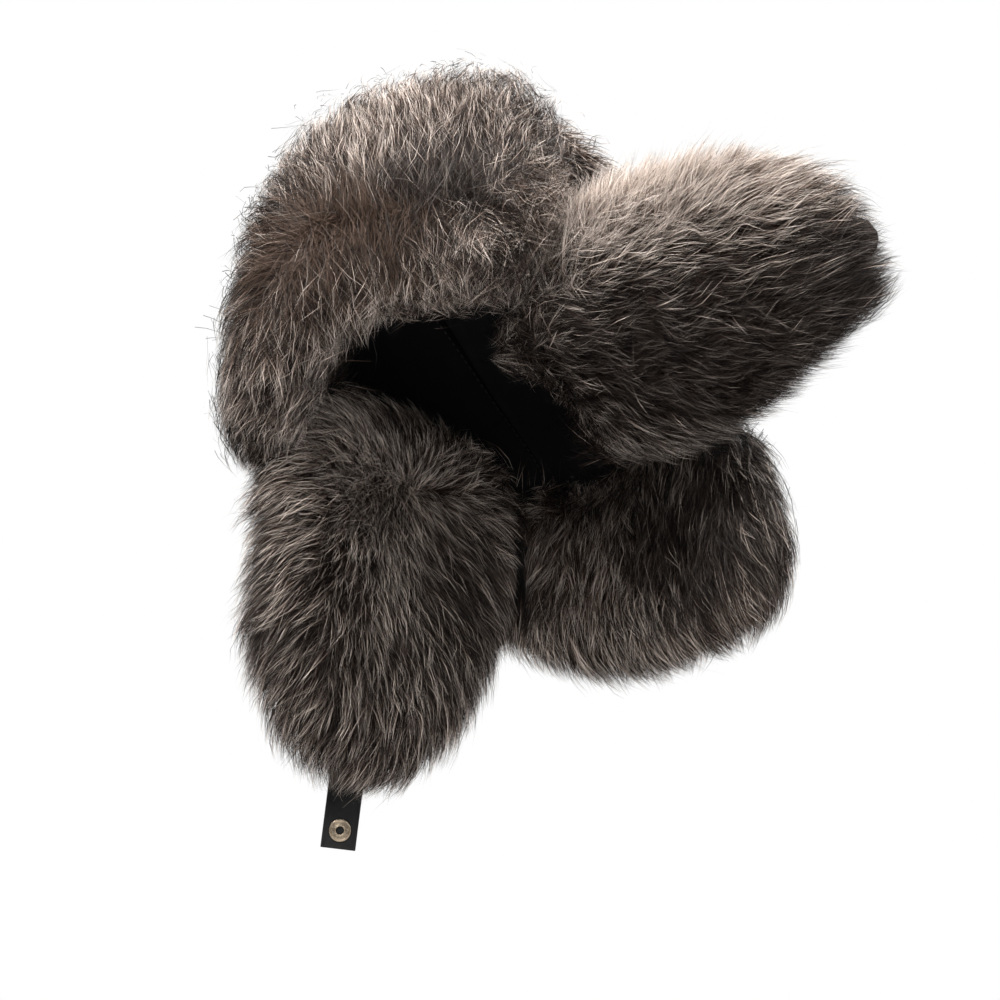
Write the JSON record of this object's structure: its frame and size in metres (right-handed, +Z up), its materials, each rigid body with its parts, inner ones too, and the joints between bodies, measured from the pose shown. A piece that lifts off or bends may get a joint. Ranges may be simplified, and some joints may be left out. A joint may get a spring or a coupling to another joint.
{
  "type": "fur aviator hat",
  "caption": "Full-fur aviator hat with a turned-up visor, one hanging and one lifted ear flap, a neck flap and a snap strap.",
  "frame": {"origin": "centre of the head opening, in the plane of the crown's rim", "axes": "+Z up through the crown, -Y the way the wearer faces, +X the wearer's left"},
  "size_m": [0.4067, 0.3275, 0.3923],
  "materials": {
    "fur": "long silver-grey guard hair over brown underfur",
    "lining": "smooth black twill",
    "strap": "matt black",
    "brass": "aged, brushed"
  },
  "bodies": {
    "root": {"crown_fur": "fur", "visor": "fur", "ear_flap_right": "fur", "ear_flap_left": "fur", "neck_flap": "fur", "lining_centre": "lining", "lining_side_left": "lining", "lining_side_right": "lining", "strap_right": "strap", "snap_socket": "brass", "snap_stud": "brass"}
  },
  "joints": []
}
